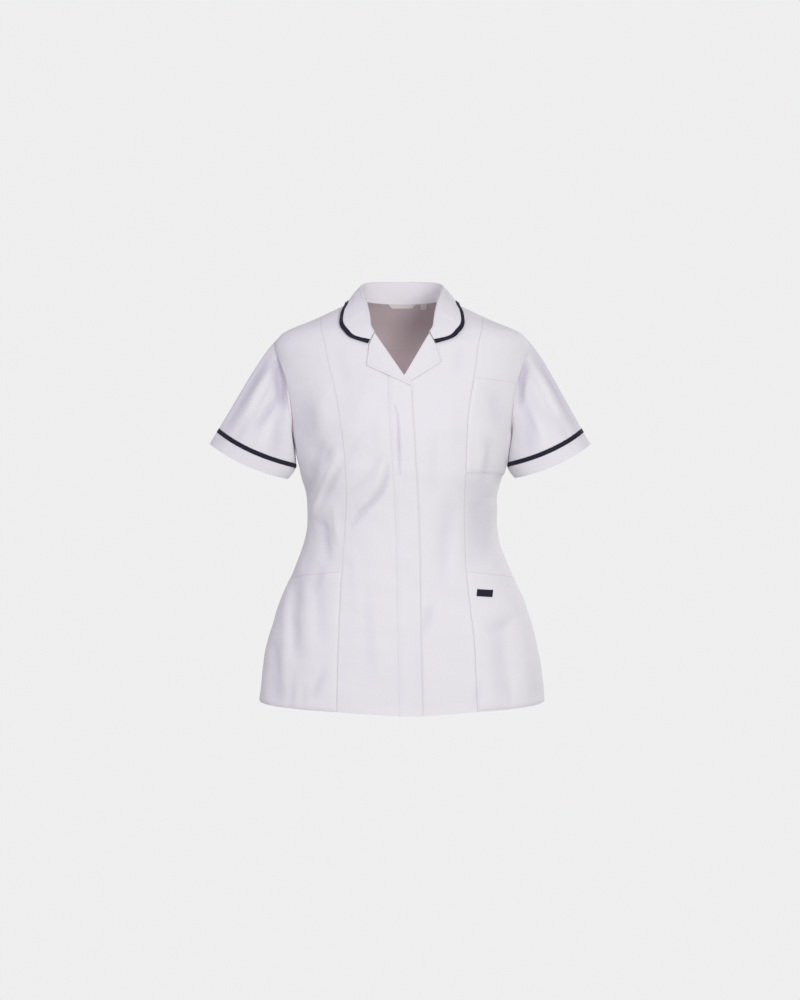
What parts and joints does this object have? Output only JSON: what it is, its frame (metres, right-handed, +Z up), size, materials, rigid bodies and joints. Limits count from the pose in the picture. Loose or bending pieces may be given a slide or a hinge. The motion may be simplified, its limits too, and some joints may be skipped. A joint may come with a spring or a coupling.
{
  "type": "work tunic",
  "caption": "Women's short-sleeved work tunic with turned collar, navy bands, concealed front placket, chest pocket and hip pockets, filled out as if worn.",
  "frame": {"origin": "centre of the neck, level with the tops of the shoulder seams beside it, where the wearer holds the garment up", "axes": "+Z up, the front faces -Y, +X towards the wearer's left"},
  "size_m": [0.6449, 0.2507, 0.7321],
  "materials": {
    "white_cloth": "matt white polyester and cotton twill, pressed",
    "navy_cloth": "matt navy twill band",
    "label_cloth": "pale grey woven satin, blank"
  },
  "bodies": {
    "root": {"front_right": "white_cloth", "front_left": "white_cloth", "front_placket": "white_cloth", "side_front_right": "white_cloth", "side_front_left": "white_cloth", "back_yoke": "white_cloth", "back_body": "white_cloth", "sleeve_right": "white_cloth", "sleeve_left": "white_cloth", "sleeve_piping_right": "navy_cloth", "sleeve_piping_left": "navy_cloth", "cuff_right": "white_cloth", "cuff_left": "white_cloth", "collar": "white_cloth", "collar_piping": "navy_cloth", "revers_right": "white_cloth", "revers_left": "white_cloth", "chest_pocket": "white_cloth", "hip_pocket_right": "white_cloth", "hip_pocket_left": "white_cloth", "pocket_tab": "navy_cloth", "neck_label": "label_cloth", "size_tab": "label_cloth"}
  },
  "joints": []
}
